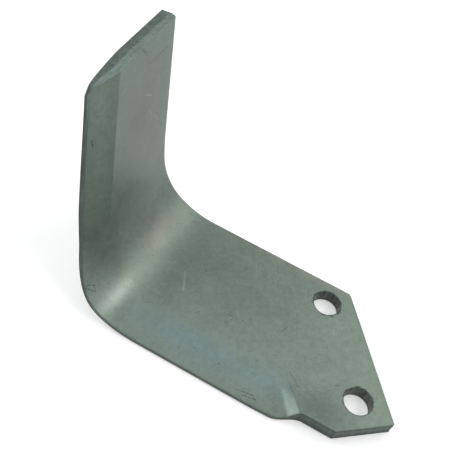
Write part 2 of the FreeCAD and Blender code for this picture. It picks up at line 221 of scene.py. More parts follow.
@dataclass(frozen=True)
class BladeOutline:
    """Edges of the flattened blade: back edge, cutting edge, bolted end and wing end."""

    bar: BarFrame = field(default_factory=BarFrame)
    back_edge: float = 35.6
    front_edge: float = 43.3
    end_margin: float = 14.9
    side_reach: float = 42.6
    end_corner: float = 1.0
    bevel_start: float = 31.2
    bevel_lean: float = 0.057
    lean_centre: float = -20.0
    bevel_line_bar: float = 26.0
    bevel_line_bend: float = 29.5
    bevel_line_heel: float = 18.2
    bevel_line_tip: float = 12.0
    edge_start: float = 50.1
    edge_bend: float = 50.2
    edge_heel: float = 34.5
    edge_tip: float = 27.2
    edge_flare: float = 3.5
    flare_length: float = 13.9
    heel_start: float = 7.3
    heel_end: float = 31.1
    swell_run: float = 15.7
    swell_reach: float = 7.4
    swell: float = -0.4
    tip_fall: float = 3.4
    tip_cut: float = 3.6
    tip_corner: float = 0.7
    wing_bulge: float = 0.75
    bulge_foot: float = 30.0
    bulge_height: float = 92.0
    tip_reach: float = 7.0

    def front(self, run: np.ndarray) -> np.ndarray:
        """Distance across to the front or cutting edge.

        Plain up to the flare, eased out to the bevelled edge, straight to the heel, then two
        straight stretches by height with rounded change-overs: the heel and the wing.

        Args:
            run: distance along the bar.

        Returns:
            Distance across, in millimetres.
        """
        bar = self.bar
        flare = smooth_step(run, self.edge_flare - 1.5, self.edge_flare + self.flare_length)
        slope = (self.edge_bend - self.edge_start) / (bar.bend_start - self.edge_flare)
        straight = self.edge_start + slope * (np.minimum(run, bar.bend_start) - self.edge_flare)
        swell = self.swell * np.exp(-(((run - self.swell_run) / self.swell_reach) ** 2))
        edge = self.front_edge + (straight - self.front_edge) * flare + swell * flare
        height = bar.bent(run, np.zeros_like(run))[1]
        lean = (self.edge_bend - self.edge_heel) / (self.heel_end - self.heel_start)
        heel = self.edge_bend - lean * (height - self.heel_start)
        tip_height = bar.bent(np.array(bar.wing_end), np.array(bar.thickness))[1]
        tip_height -= self.tip_reach
        fall = (self.edge_heel - self.edge_tip) / (tip_height - self.heel_end)
        up = np.clip((height - self.bulge_foot) / self.bulge_height, 0.0, 1.0)
        bulge = self.wing_bulge * np.sin(np.pi * up)
        wing = self.edge_heel - fall * (height - self.heel_end) + bulge
        shaped = soft_high(soft_low(edge, heel, 2.6), wing, 3.6)
        return np.where(run > bar.bend_start, shaped, edge)

    def bevel_line(self, run: np.ndarray) -> np.ndarray:
        """Distance across to the line where the bevel starts: straight, eased in, straight."""
        bar = self.bar
        on_bar = self.bevel_line_bar + (self.bevel_line_bend - self.bevel_line_bar) * np.clip(
            run / bar.bend_start, 0.0, 1.0
        )
        fifth = bar.bend_start + 0.22 * (bar.bend_end - bar.bend_start)
        heel = smooth_step(run, fifth, bar.bend_end + 2.0)
        past = np.clip((run - bar.bend_end) / (bar.wing_end - bar.bend_end), 0.0, 1.0)
        on_wing = self.bevel_line_heel + (self.bevel_line_tip - self.bevel_line_heel) * past
        return on_bar + (on_wing - on_bar) * heel

    def wing_end(self, across: np.ndarray) -> np.ndarray:
        """Run of the wing's end: square at the back, falling and cornered at the cutting edge."""
        corner = self.edge_tip - self.tip_cut
        fall = self.tip_fall * np.clip(across / corner, 0.0, None) ** 1.6
        cut = soft_high(across - corner, np.zeros_like(across), 1.0) * 1.1
        inside = np.clip(self.tip_corner - across - self.back_edge, 0.0, self.tip_corner)
        back = self.tip_corner - np.sqrt(self.tip_corner**2 - inside**2)
        return self.bar.wing_end - 0.1 - fall - cut - back


@dataclass(frozen=True)
class Mark:
    """One scratch, pit or fleck: a short line on the bar, in millimetres of run and across."""

    start: tuple[float, float]
    end: tuple[float, float]
    width: float
    tone: float


@dataclass(frozen=True)
class Patch:
    """A soft patch of painted light, painted shade or tint: tone * exp(-(run / long)^2 - (across /
    wide)^2).
    """

    run: float
    across: float
    long: float
    wide: float
    tone: float

    def field(self, run: np.ndarray, across: np.ndarray) -> np.ndarray:
        """Strength of the patch at every point."""
        along = (run - self.run) / self.long
        aside = (across - self.across) / self.wide
        return self.tone * np.exp(-(along**2) - aside**2)


@dataclass(frozen=True)
class PaintedLightAndTint:
    """Painted light and shade over the blade, with bluish and warm tints, partly painted
    reflection and highlight.

    step_light paints light on the sloping step, outer_share is how much of the tone shows outside,
    side_share sets the painted shade on the side walls, and tip_fade how burnished the wing's end
    is.
    """

    step_light: float = 0.85
    outer_share: float = 0.4
    side_share: float = 0.8
    tip_fade: float = 0.6

    # painted light and shade: the dark patches stand in for dark reflections on the plate, bend,
    # heel, wing and edges; the light ones are painted light on the wing's bevel and painted
    # highlights in the bend, the strong one on the bevel at run 111
    shade: tuple[Patch, ...] = (
        Patch(82.0, -12.0, 26.0, 26.0, -0.20),
        Patch(96.0, 10.0, 9.0, 22.0, -0.10),
        Patch(124.0, -4.0, 11.0, 26.0, -0.14),
        Patch(132.0, 30.0, 16.0, 13.0, -0.34),
        Patch(190.0, -12.0, 48.0, 30.0, -0.17),
        Patch(60.0, -34.0, 50.0, 6.0, -0.12),
        Patch(-3.0, 37.0, 15.0, 10.0, -0.34),
        Patch(30.0, -20.0, 14.0, 12.0, -0.06),
        Patch(48.0, 0.0, 20.0, 22.0, -0.10),
        Patch(2.0, -4.0, 22.0, 20.0, 0.06),
        Patch(195.0, 24.0, 40.0, 8.0, 0.20),
        Patch(111.0, 38.0, 3.4, 13.0, 0.85),
        Patch(108.0, -4.0, 4.5, 34.0, 0.10),
    )
    # painted light: the bluish patches on the plate's bevel (66, 38) and by the step (22, 36) are
    # painted bluish light; the patch at the wing's end (230, -16) is a bluish tint
    cool: tuple[Patch, ...] = (
        Patch(66.0, 38.0, 42.0, 8.0, 0.85),
        Patch(22.0, 36.0, 14.0, 9.0, 0.4),
        Patch(230.0, -16.0, 4.0, 26.0, 0.5),
    )
    # painted highlight: the warm patches at runs 114 and 113 tint the bend's highlights; the two
    # strips along the back edge are a warm tint of the steel
    warm: tuple[Patch, ...] = (
        Patch(114.0, -6.0, 6.0, 12.0, 0.6),
        Patch(113.0, 36.0, 5.0, 14.0, 0.4),
        Patch(30.0, -34.5, 45.0, 3.0, 0.7),
        Patch(172.0, -34.8, 46.0, 2.4, 0.8),
    )

    @staticmethod
    def total(patches: tuple[Patch, ...], run: np.ndarray, across: np.ndarray) -> np.ndarray:
        """Sum of a group of patches at every point."""
        return sum(patch.field(run, across) for patch in patches)


@dataclass
class BladeForm:
    """The forged blade as one closed surface on a grid of ribs and lines.

    Ribs run from the back edge to the front edge. On the bolted end they lie along the line of
    the holes, then they fan out to lie square across the bend and the wing. One line of the
    grid follows the line where the bevel starts.
    """

    bar: BarFrame = field(default_factory=BarFrame)
    outline: BladeOutline = field(default_factory=BladeOutline)
    bevel_depth: float = 5.8
    step_width: float = 6.6
    back_roll: float = 1.5
    wing_roll: float = 2.3
    end_roll: float = 0.5
    edge_roll: float = 0.4
    outer_roll: float = 0.4
    fan_ribs: int = 92
    bend_ribs: int = 60
    wing_ribs: int = 84
    flat_lines: int = 74
    bevel_lines: int = 44
    wall_rows: int = 9
    face_wave: float = 0.05
    tear_depth: float = 0.22
    tear_rough: float = 0.09
    painted_edge_shade_width: float = 0.35

    def ribs(self) -> list[tuple[np.ndarray, np.ndarray]]:
        """Work out the ends of the straight ribs.

        Returns:
            For the flat end, the fan beside it and the bend: the (run, across) ends at the back
            edge and at the front edge, one row for each rib.
        """
        line, bar = self.outline, self.bar
        c, s = math.cos(bar.heading), math.sin(bar.heading)
        corner_x = (c * -line.side_reach - line.front_edge) / s
        to_corner = line.end_margin + (corner_x - line.end_margin) * graded(46, 0.9)
        to_step = corner_x + (-line.bevel_start - corner_x) * graded(40, 0.9)[1:]
        x = np.concatenate([to_corner, to_step])
        lean = line.bevel_lean * np.clip((corner_x - x) / (corner_x + line.bevel_start), 0, 1)
        run = (x - s * line.back_edge) / c
        for _ in range(12):
            y = s * run - c * line.back_edge
            run = (x - lean * (y - line.lean_centre) - s * line.back_edge) / c
        back = np.stack([run, np.full_like(x, -line.back_edge)], -1)
        dip = np.clip(x - (line.end_margin - line.end_corner), 0.0, line.end_corner)
        side = -line.side_reach + line.end_corner - np.sqrt(line.end_corner**2 - dip**2)
        front = np.stack(bar.from_land(x, side), -1)
        run = (x + s * line.front_edge) / c
        for _ in range(25):
            y = s * run + c * line.front(run)
            run = (x - lean * (y - line.lean_centre) + s * line.front(run)) / c
        plain = np.stack([run, line.front(run)], -1)
        front = np.where((front[:, 1] > line.front_edge - 1e-9)[:, None], plain, front)
        land = (back, front)

        w = np.linspace(0.0, 1.0, self.fan_ribs)[1:]
        grow = 0.25 * w + 0.75 * w**1.5
        run = plain[-1, 0] + (bar.bend_start - plain[-1, 0]) * grow
        front = np.stack([run, line.front(run)], -1)
        run = back[-1, 0] + (bar.bend_start - back[-1, 0]) * grow
        fan = (np.stack([run, np.full_like(run, -line.back_edge)], -1), front)

        run = np.linspace(bar.bend_start, bar.bend_end, self.bend_ribs)[1:]
        front = np.stack([run, line.front(run)], -1)
        bend = (np.stack([run, np.full_like(run, -line.back_edge)], -1), front)
        return [land, fan, bend]

    def flat_grid(self) -> tuple[np.ndarray, np.ndarray]:
        """Lay the grid out on the flattened blade.

        Each rib is split where it crosses the bevel line, found by repeated substitution, and
        both pieces get lines that crowd towards their ends. The wing's ribs are stretched to
        its shaped end.

        Returns:
            Run and across of every grid point, ribs by lines.
        """
        line, bar = self.outline, self.bar
        back, front = (np.concatenate(ends) for ends in zip(*self.ribs()))
        tau = graded(2 * self.wing_ribs, 0.93)[self.wing_ribs :] * 2.0 - 1.0
        tau = ((tau - tau[0]) / (tau[-1] - tau[0]))[1:]
        run = bar.bend_end + (bar.wing_end - bar.bend_end) * tau
        back = np.concatenate([back, np.stack([run, np.full_like(run, -line.back_edge)], -1)])
        front = np.concatenate([front, np.stack([run, line.front(run)], -1)])
        split = np.full(len(back), 0.76)
        for _ in range(10):
            run = back[:, 0] + (front[:, 0] - back[:, 0]) * split
            split = (line.bevel_line(run) + line.back_edge) / (front[:, 1] + line.back_edge)
        split = np.clip(split, 0.5, 0.9)
        near = graded(self.flat_lines, 0.93)[None, :] * split[:, None]
        far = split[:, None] + graded(self.bevel_lines, 0.86)[None, 1:] * (1 - split[:, None])
        share = np.concatenate([near, far], axis=1)
        runs = back[:, :1] + (front[:, :1] - back[:, :1]) * share
        acrosses = back[:, 1:] + (front[:, 1:] - back[:, 1:]) * share
        wing = slice(len(back) - len(tau), None)
        ends = line.wing_end(acrosses[wing])
        runs[wing] = bar.bend_end + (ends - bar.bend_end) * tau[:, None]
        return runs, acrosses

    def edge_distances(self, run: np.ndarray, across: np.ndarray) -> list[np.ndarray]:
        """Distance inwards from the back edge, front edge, bolted end, side cut and wing end."""
        line = self.outline
        x, y = self.bar.to_land(run, across)
        flat = run < self.bar.bend_start
        return [
            across + line.back_edge,
            np.maximum(line.front(run) - across, 0.0),
            np.where(flat, line.end_margin - x, 99.0),
            np.where(flat, y + line.side_reach, 99.0),
            np.where(run > self.bar.bend_end, line.wing_end(across) - run, 99.0),
        ]

    @staticmethod
    def rolled(distances: list[np.ndarray], radii: list[float]) -> np.ndarray:
        """Drop of a rounded edge: r - sqrt(r^2 - e^2), with e how far inside the radius.

        Args:
            distances: distance inwards from each edge.
            radii: radius of each edge.

        Returns:
            Drop of the surface, in millimetres.
        """
        inside = np.zeros_like(distances[0])
        radius = np.zeros_like(distances[0])
        for distance, r in zip(distances, radii):
            share = np.clip(1.0 - distance / r, 0.0, 1.0)
            radius = np.maximum(radius, np.where(share > 0.0, r, 0.0))
            inside = np.sqrt(inside**2 + share**2)
        inside = np.minimum(inside, 1.0)
        return radius * (1.0 - np.sqrt(1.0 - inside**2))

    def bevel(self, run: np.ndarray, across: np.ndarray) -> np.ndarray:
        """Depth taken off the inner face by the bevel.

        It falls evenly from the bevel line to the cutting edge, with a hollow of soft radius at
        the line, and starts at a sloping step beside the bolted end.

        Args:
            run: distance along the bar.
            across: distance across it.

        Returns:
            Depth, in millimetres.
        """
        line, bar = self.outline, self.bar
        start = line.bevel_line(run)
        width = line.front(run) - start
        crisp = smooth_step(run, bar.bend_end - 22.0, bar.bend_end + 16.0)
        near_land = 1.0 - smooth_step(run, 10.0, 60.0)
        share = soft_high((across - start) / width, np.zeros_like(run), 0.10 - 0.07 * crisp)
        power = 1.32 + 0.55 * near_land - 0.32 * crisp
        depth = self.bevel_depth * np.minimum(share, 1.0) ** power
        x, y = bar.to_land(run, across)
        ridge = line.bevel_start + line.bevel_lean * (y - line.lean_centre)
        room = (-ridge - x) * (self.bevel_depth / self.step_width)
        step = np.where(run < bar.bend_start, np.maximum(room, 0.0), 99.0)
        return np.maximum(soft_low(depth, step, 0.5), 0.0) * (step > 0.0)

    def heights(self, run: np.ndarray, across: np.ndarray) -> tuple[np.ndarray, np.ndarray]:
        """Depth coordinate of the inner and outer faces.

        The inner face is thickness - bevel - rolled edge + a faint wave; the outer face is flat
        but for its rolled edge. Edges roll less where the bevel has thinned the bar.

        Args:
            run: distance along the bar.
            across: distance across it.

        Returns:
            Inner and outer face, in millimetres above the outer face.
        """
        away = self.edge_distances(run, across)
        bevel = self.bevel(run, across)
        thin = np.clip(bevel / self.bevel_depth, 0.0, 1.0)
        on_wing = smooth_step(run, self.bar.bend_start, self.bar.bend_end)
        back_roll = self.back_roll + (self.wing_roll - self.back_roll) * on_wing
        inner_roll = self.rolled(away, [back_roll, self.edge_roll] + [self.end_roll] * 3)
        inner_roll = inner_roll * (1.0 - 0.45 * thin)
        outer_roll = self.rolled(away, [self.outer_roll] * 5) * (1.0 - 0.3 * thin)
        middle = smooth_step(np.minimum.reduce(away), 0, 8)
        wave = self.face_wave * ripple(run, across, 46.0, 5) * middle
        return self.bar.thickness - bevel - inner_roll + wave, outer_roll

    @staticmethod
    def outward(run: np.ndarray, across: np.ndarray, rows: int) -> tuple[np.ndarray, np.ndarray]:
        """Outward direction along a closed loop: its tangent turned a quarter, of length 1.

        Args:
            run: run of the loop's points.
            across: across of the loop's points.
            rows: how many of the first points lie on the back edge.

        Returns:
            Run and across parts of the direction.
        """
        ahead_run = np.roll(run, -1) - np.roll(run, 1)
        ahead_across = np.roll(across, -1) - np.roll(across, 1)
        length = np.maximum(np.hypot(ahead_run, ahead_across), 1e-9)
        out_run, out_across = -ahead_across / length, ahead_run / length
        if np.mean(out_across[: rows - 1]) > 0:
            out_run, out_across = -out_run, -out_across
        return out_run, out_across

    def wall(self, run: tuple[np.ndarray, np.ndarray], across: tuple[np.ndarray, np.ndarray],
             inner: np.ndarray, outer: np.ndarray) -> tuple[np.ndarray, ...]:
        """Rows of points down the sheared wall round the blade, torn inwards below its middle.

        Args:
            run: run of the loop along the edge, then its outward direction.
            across: across of the loop, then its outward direction.
            inner: height of the inner face along the loop.
            outer: height of the outer face along the loop.

        Returns:
            Run, across and depth of the wall's points, and the share of the way down of each row.
        """
        down = np.linspace(0.0, 1.0, self.wall_rows + 2)[1:-1, None]
        top, low = inner[None], outer[None]
        tall = np.clip((top - low) / self.bar.thickness, 0.0, 1.0)
        torn = smooth_step(down, 0.35, 0.62) * (1.0 - smooth_step(down, 0.86, 1.0))
        rough = ripple(run[0][None], across[0][None] + down * 9.0, 7.0, 11)
        shift = -(self.tear_depth * torn + self.tear_rough * torn * rough) * tall
        wall_run = run[0][None] + run[1][None] * shift
        wall_across = across[0][None] + across[1][None] * shift
        return wall_run, wall_across, top + (low - top) * down, down

    def tones(self, surface: np.ndarray, size: int) -> dict[str, np.ndarray]:
        """Painted light and shade and the tints at every point, and which walls are painted dark
        or burnished.

        Args:
            surface: run, across and depth of every point.
            size: how many points each face has.

        Returns:
            One value per point for shade, cool, warm, side and tip.
        """
        tone = PaintedLightAndTint()
        run, across, depth = surface.T
        shade = 1.0 + tone.total(tone.shade, run, across)
        x, y = self.bar.to_land(run, across)
        line = self.outline
        # painted light: lightens the sloping step beside the bolted end
        ridge = -line.bevel_start - line.bevel_lean * (y - line.lean_centre) - x
        slope = smooth_step(ridge, 0.0, 0.8) * (1.0 - smooth_step(ridge, 4.0, 6.4))
        shade += tone.step_light * slope * smooth_step(across, 33.5, 40.0) * (run < 30.0)
        outer = slice(size, 2 * size)
        shade[outer] = 1.0 + tone.outer_share * (shade[outer] - 1.0)
        # painted shade: marks the walls on the cutting-edge side and at the bolted end, which
        # sheared_wall darkens
        side = smooth_step(across, 20.0, 26.0) * (1.0 - smooth_step(run, 205.0, 222.0))
        side = np.maximum(side, smooth_step(-run, 12.0, 20.0))
        at_tip = smooth_step(run, 222.0, 228.0)
        lower = at_tip * smooth_step(self.bar.thickness - depth, 0.0, 4.0)
        return {
            "shade": shade, "cool": tone.total(tone.cool, run, across),
            "warm": tone.total(tone.warm, run, across), "side": side * tone.side_share,
            "tip": at_tip * (1.0 - lower * tone.tip_fade),
        }

    def faces(self) -> dict[str, np.ndarray]:
        """Work out both faces and the wall round them.

        Returns:
            Points, faces, the surface coordinates of every point, its masks, and its tones and
            painted light and shade.
        """
        run, across = self.flat_grid()
        inner, outer = self.heights(run, across)
        rows, lines = run.shape
        size = rows * lines
        index = np.arange(size).reshape(rows, lines)
        loop = np.concatenate([index[:-1, 0], index[-1, :-1], index[:0:-1, -1], index[0, :0:-1]])
        edge_run, edge_across = run.ravel()[loop], across.ravel()[loop]
        out_run, out_across = self.outward(edge_run, edge_across, rows)
        wall_run, wall_across, wall_depth, down = self.wall(
            (edge_run, out_run), (edge_across, out_across),
            inner.ravel()[loop], outer.ravel()[loop],
        )
        places = ((run, across, inner), (run, across, outer), (wall_run, wall_across, wall_depth))
        points = np.concatenate([self.bar.place(*place).reshape(-1, 3) for place in places])
        surface = np.concatenate([np.stack(place, -1).reshape(-1, 3) for place in places])

        quads = np.stack([index[:-1, :-1], index[1:, :-1], index[1:, 1:], index[:-1, 1:]], -1)
        quads = quads.reshape(-1, 4)
        rings = [loop] + [2 * size + i * len(loop) + np.arange(len(loop))
                          for i in range(self.wall_rows)] + [loop + size]
        walls = [np.stack([a, np.roll(a, -1), np.roll(b, -1), b], -1)[:, ::-1]
                 for a, b in zip(rings[:-1], rings[1:])]

        away = self.edge_distances(run, across)
        zeros, wall_size = np.zeros(size), self.wall_rows * len(loop)
        on_wall = np.concatenate([zeros, zeros, np.ones(wall_size)])
        on_wall[loop], on_wall[loop + size] = 0.5, 0.5
        fade = smooth_step(np.broadcast_to(down, wall_depth.shape), 0.3, 0.6).ravel()
        torn = np.concatenate([zeros, zeros, fade])
        torn[loop + size] = 1.0
        # painted shade: a dark line along the cutting edge, the bolted end and the side cut, where
        # the edge walls lie in shadow
        painted_edge_shade = np.exp(-np.minimum.reduce([away[1], away[2], away[3]]) / self.painted_edge_shade_width).ravel()
        return {
            "points": points, "faces": np.concatenate([quads, quads[:, ::-1] + size] + walls),
            "surface": surface, "wall": on_wall, "torn": torn,
            "painted_edge_shade": np.concatenate([painted_edge_shade, painted_edge_shade * 0.6, np.zeros(wall_size)]),
            "inner": np.concatenate([np.ones(size), np.zeros(size + wall_size)]),
            **self.tones(surface, size),
        }


@dataclass(frozen=True)
class BoltHole:
    """One punched bolt hole, cut with a turned profile."""

    centre_y: float
    radius: float = 7.25
    rim: float = 0.3
    tear: float = 0.12
    thickness: float = 8.0
    sides: int = 128

    def cutter(self) -> tuple[np.ndarray, np.ndarray]:
        """Turn the hole's profile round its axis: rim, straight wall, torn exit, rim.

        Returns:
            Points in metres and quad faces of the closed cutter.
        """
        t, r = self.thickness, self.radius
        bow = np.linspace(0.0, np.pi / 2.0, 7)
        top_r = r + self.rim * (1.0 - np.cos(bow))
        top_z = t - self.rim + self.rim * np.sin(bow)
        wall_z = np.array([0.35, 1.2, 2.2, 3.2, 4.2, 5.0, t - self.rim - 0.1])
        wall_r = np.array([r + self.tear] * 3 + [r + self.tear * 0.6, r + 0.05, r, r])
        profile_z = np.concatenate([[-3.0, -3.0, 0.0], wall_z, top_z, [t + 3.0, t + 3.0]])
        top_flare = r + self.rim
        profile_r = np.concatenate(
            [[0.02, r + 0.4, r + 0.4], wall_r, top_r, [top_flare, 0.02]]
        )
        angle = np.linspace(0.0, 2.0 * np.pi, self.sides, endpoint=False)
        x = profile_r[:, None] * np.cos(angle)
        y = profile_r[:, None] * np.sin(angle) + self.centre_y
        z = np.broadcast_to(profile_z[:, None], x.shape)
        points = np.stack([x, y, z], -1).reshape(-1, 3) * MM
        index = np.arange(len(profile_z) * self.sides).reshape(len(profile_z), self.sides)
        around = np.roll(index, -1, axis=1)
        quads = np.stack([index[:-1], around[:-1], around[1:], index[1:]], -1).reshape(-1, 4)
        return points, quads

    def caps(self, count: int) -> list[list[int]]:
        """Close the two small ends of the cutter."""
        rings = count // self.sides
        low = list(range(self.sides))[::-1]
        high = list(range((rings - 1) * self.sides, rings * self.sides))
        return [low, high]


class MeshMaker:
    """Puts numpy surfaces into Blender meshes."""

    @staticmethod
    def signed_volume(points: np.ndarray, quads: np.ndarray) -> float:
        """Six times the volume inside quads that face outwards: sum of a . (b x c)."""
        total = 0.0
        for pick in ((0, 1, 2), (0, 2, 3)):
            a, b, c = (points[quads[:, i]] for i in pick)
            total += float(np.einsum("ij,ij->i", a, np.cross(b, c)).sum())
        return total

    @classmethod
    def mesh(cls, name: str, points: np.ndarray, quads: np.ndarray,
             extra: list[list[int]] | None = None) -> bpy.types.Mesh:
        """Make a mesh of quads that face outwards.

        Args:
            name: name of the mesh.
            points: vertex positions in metres.
            quads: vertex numbers of the quads.
            extra: further faces with more corners.

        Returns:
            The mesh.
        """
        if cls.signed_volume(points, quads) < 0.0:
            quads = quads[:, ::-1]
            extra = [face[::-1] for face in extra or []]
        mesh = bpy.data.meshes.new(name)
        mesh.from_pydata(points.tolist(), [], quads.tolist() + (extra or []))
        mesh.validate()
        return mesh


@dataclass
class NodeBench:
    """Adds and links shader nodes of one material."""

    tree: bpy.types.NodeTree

    def add(self, kind: str, **inputs: object) -> bpy.types.Node:
        """Add a node and set its properties and inputs.

        Args:
            kind: node type name.
            inputs: property names, or input names with spaces as underscores; a socket value
                is linked, anything else is set.

        Returns:
            The node.
        """
        node = self.tree.nodes.new(kind)
        for key, value in inputs.items():
            if key.startswith("p_"):
                setattr(node, key[2:], value)
                continue
            name = key.replace("_", " ")
            socket = node.inputs[int(key[1:])] if key[1:].isdigit() else node.inputs[name]
            if isinstance(value, bpy.types.NodeSocket):
                self.tree.links.new(value, socket)
            else:
                socket.default_value = value
        return node

    def math(self, operation: str, a: object, b: object = 0.0,
             clamp: bool = False) -> bpy.types.NodeSocket:
        """Arithmetic on one or two values."""
        node = self.add("ShaderNodeMath", p_operation=operation, p_use_clamp=clamp, i0=a, i1=b)
        return node.outputs[0]

    def vector(self, operation: str, a: object, b: object,
               output: str = "Vector") -> bpy.types.NodeSocket:
        """Arithmetic on two vectors."""
        node = self.add("ShaderNodeVectorMath", p_operation=operation, i0=a, i1=b)
        return node.outputs[output]

    def ramp(self, value: object, low: float, high: float, to_low: float = 0.0,
             to_high: float = 1.0) -> bpy.types.NodeSocket:
        """Map a value from one range to another, held at the ends and eased."""
        node = self.add("ShaderNodeMapRange", p_interpolation_type="SMOOTHSTEP", i0=value,
                        i1=low, i2=high, i3=to_low, i4=to_high)
        return node.outputs[0]

    def mix(self, share: object, a: object, b: object,
            mode: str = "MIX") -> bpy.types.NodeSocket:
        """Mix two colours."""
        node = self.add("ShaderNodeMix", p_data_type="RGBA", p_blend_type=mode, i0=share,
                        i6=a, i7=b)
        return node.outputs[2]

    def noise(self, vector: object, scale: float, detail: float = 4.0, rough: float = 0.55,
              twist: float = 0.0) -> bpy.types.NodeSocket:
        """Fractal noise value at a place."""
        node = self.add("ShaderNodeTexNoise", Vector=vector, Scale=scale, Detail=detail,
                        Roughness=rough, Distortion=twist)
        return node.outputs["Fac"]

    def attribute(self, name: str) -> bpy.types.NodeSocket:
        """Value of a named attribute of the mesh."""
        return self.add("ShaderNodeAttribute", p_attribute_name=name).outputs["Fac"]


def linear(red: float, green: float, blue: float) -> tuple[float, float, float, float]:
    """Turn display colour values of 0 to 255 into a linear colour with full alpha."""
    def one(value: float) -> float:
        v = value / 255.0
        return v / 12.92 if v <= 0.04045 else ((v + 0.055) / 1.055) ** 2.4

    return one(red), one(green), one(blue), 1.0


@dataclass(frozen=True)
class ForgedSteel:
    """Bright forged steel with a thin grey-green scale, darker on sheared edges, with painted
    light and shade in its colour.
    """

    name: str = "Forged steel, grey-green"
    base: tuple[float, float, float] = (116.0, 129.0, 118.0)
    # blue is the colour of the painted bluish light and tint; warm is the colour of the painted
    # highlight tint and of the back edge's tint
    blue: tuple[float, float, float] = (109.0, 127.0, 127.0)
    warm: tuple[float, float, float] = (138.0, 136.0, 128.0)
    # dark colour of torn sheared steel, also used as painted shade on the walls of the
    # cutting-edge side and the bolted end
    sheared_and_shaded: tuple[float, float, float] = (80.0, 90.0, 84.0)
    burnished: tuple[float, float, float] = (108.0, 122.0, 117.0)
    soot: tuple[float, float, float] = (44.0, 50.0, 44.0)
    pale: tuple[float, float, float] = (176.0, 186.0, 176.0)
    bore_dark: tuple[float, float, float] = (58.0, 66.0, 60.0)
    bore_light: tuple[float, float, float] = (98.0, 106.0, 100.0)
    metal: float = 0.45
    rough: float = 0.45
    specular: float = 0.4
    pit_dark: float = 0.55
    painted_edge_shade_dark: float = 0.6
    bump_strength: float = 0.35
    bump_height: float = 0.00022
    hole_radius: float = 0.00725
    hole_reach: float = 0.0285
    marks: tuple[Mark, ...] = (
        Mark((-6.6, 23.2), (-4.4, 24.8), 0.5, -0.8),
        Mark((-3.0, 28.5), (-1.5, 31.8), 0.4, -0.35),
        Mark((-1.5, 31.8), (3.0, 32.8), 0.4, -0.4),
        Mark((-8.5, 35.5), (-4.5, 36.5), 0.5, -0.3),
        Mark((-3.0, 14.0), (1.5, 14.2), 0.35, -0.3),
        Mark((1.5, 14.2), (7.0, 11.0), 0.35, -0.3),
        Mark((5.0, 16.0), (9.0, 19.0), 0.35, -0.35),
        Mark((11.5, 18.2), (16.8, 17.8), 0.4, -0.4),
        Mark((30.0, 7.0), (31.0, 11.5), 0.6, -0.45),
        Mark((47.0, 18.2), (51.0, 17.2), 0.5, -0.6),
        Mark((53.5, 18.2), (59.5, 17.7), 0.45, -0.6),
        Mark((48.5, -20.5), (50.0, -24.5), 0.5, -0.55),
        Mark((58.5, -16.5), (60.0, -20.0), 0.5, -0.5),
        Mark((63.0, -13.8), (65.5, -13.2), 0.6, -0.6),
        Mark((52.0, -2.8), (52.4, -2.2), 0.6, -0.7),
        Mark((81.2, 0.8), (82.2, -0.6), 0.6, -0.8),
        Mark((50.0, 42.7), (50.4, 42.9), 0.6, -0.8),
        Mark((53.9, 42.7), (54.1, 42.9), 0.5, -0.6),
        Mark((64.6, 41.8), (65.0, 42.2), 0.6, -0.7),
        Mark((71.6, 44.8), (72.0, 45.2), 0.6, -0.8),
        Mark((26.0, 48.6), (28.5, 47.6), 0.35, -0.9),
        Mark((28.5, 47.6), (36.5, 48.4), 0.35, -0.9),
        Mark((26.0, 48.6), (33.0, 49.2), 0.35, -0.8),
        Mark((48.0, 29.3), (52.5, 29.3), 0.4, -0.4),
        Mark((72.6, 25.0), (73.8, 26.6), 0.9, -0.45),
        Mark((85.5, 18.5), (90.3, 7.5), 1.3, 0.32),
        Mark((90.3, 28.2), (111.0, 28.3), 0.3, -0.5),
        Mark((90.2, 27.6), (90.5, 33.5), 0.4, -0.5),
        Mark((96.0, 34.0), (99.0, 35.5), 0.6, -0.4),
        Mark((99.0, 35.5), (102.0, 32.0), 0.5, -0.4),
        Mark((104.5, -27.5), (108.2, -27.0), 0.7, -0.5),
        Mark((102.6, -24.2), (103.2, -23.6), 0.7, -0.5),
        Mark((109.3, -16.2), (109.8, -15.2), 0.7, -0.55),
        Mark((125.6, 16.4), (126.4, 17.2), 0.8, -0.45),
        Mark((119.5, 45.0), (122.0, 43.4), 0.45, -0.95),
        Mark((122.0, 43.4), (124.0, 45.4), 0.45, -0.95),
        Mark((119.5, 45.0), (123.6, 46.8), 0.45, -0.95),
        Mark((171.0, -25.4), (178.5, -20.4), 0.6, -0.5),
        Mark((178.8, -20.6), (185.0, -16.6), 0.5, 0.5),
        Mark((187.0, -14.2), (191.5, -10.8), 0.8, 0.28),
        Mark((193.0, -7.2), (193.6, -4.6), 1.0, -0.4),
        Mark((200.5, -11.6), (204.6, -6.2), 0.8, 0.35),
        Mark((193.6, -13.6), (198.0, -15.4), 0.6, -0.25),
        Mark((220.8, -23.4), (220.8, -8.0), 0.7, -0.75),
        Mark((220.8, -23.6), (220.8, -22.4), 1.0, -0.8),
        Mark((222.0, -7.6), (229.0, -5.2), 0.4, -0.4),
        Mark((228.8, -4.8), (232.4, -1.6), 1.3, -0.6),
        Mark((181.0, 11.4), (186.0, 11.7), 0.4, -0.4),
        Mark((197.8, 28.2), (202.0, 28.6), 0.6, -0.9),
        Mark((11.0, 35.6), (18.4, 30.2), 0.4, -0.75),
    )

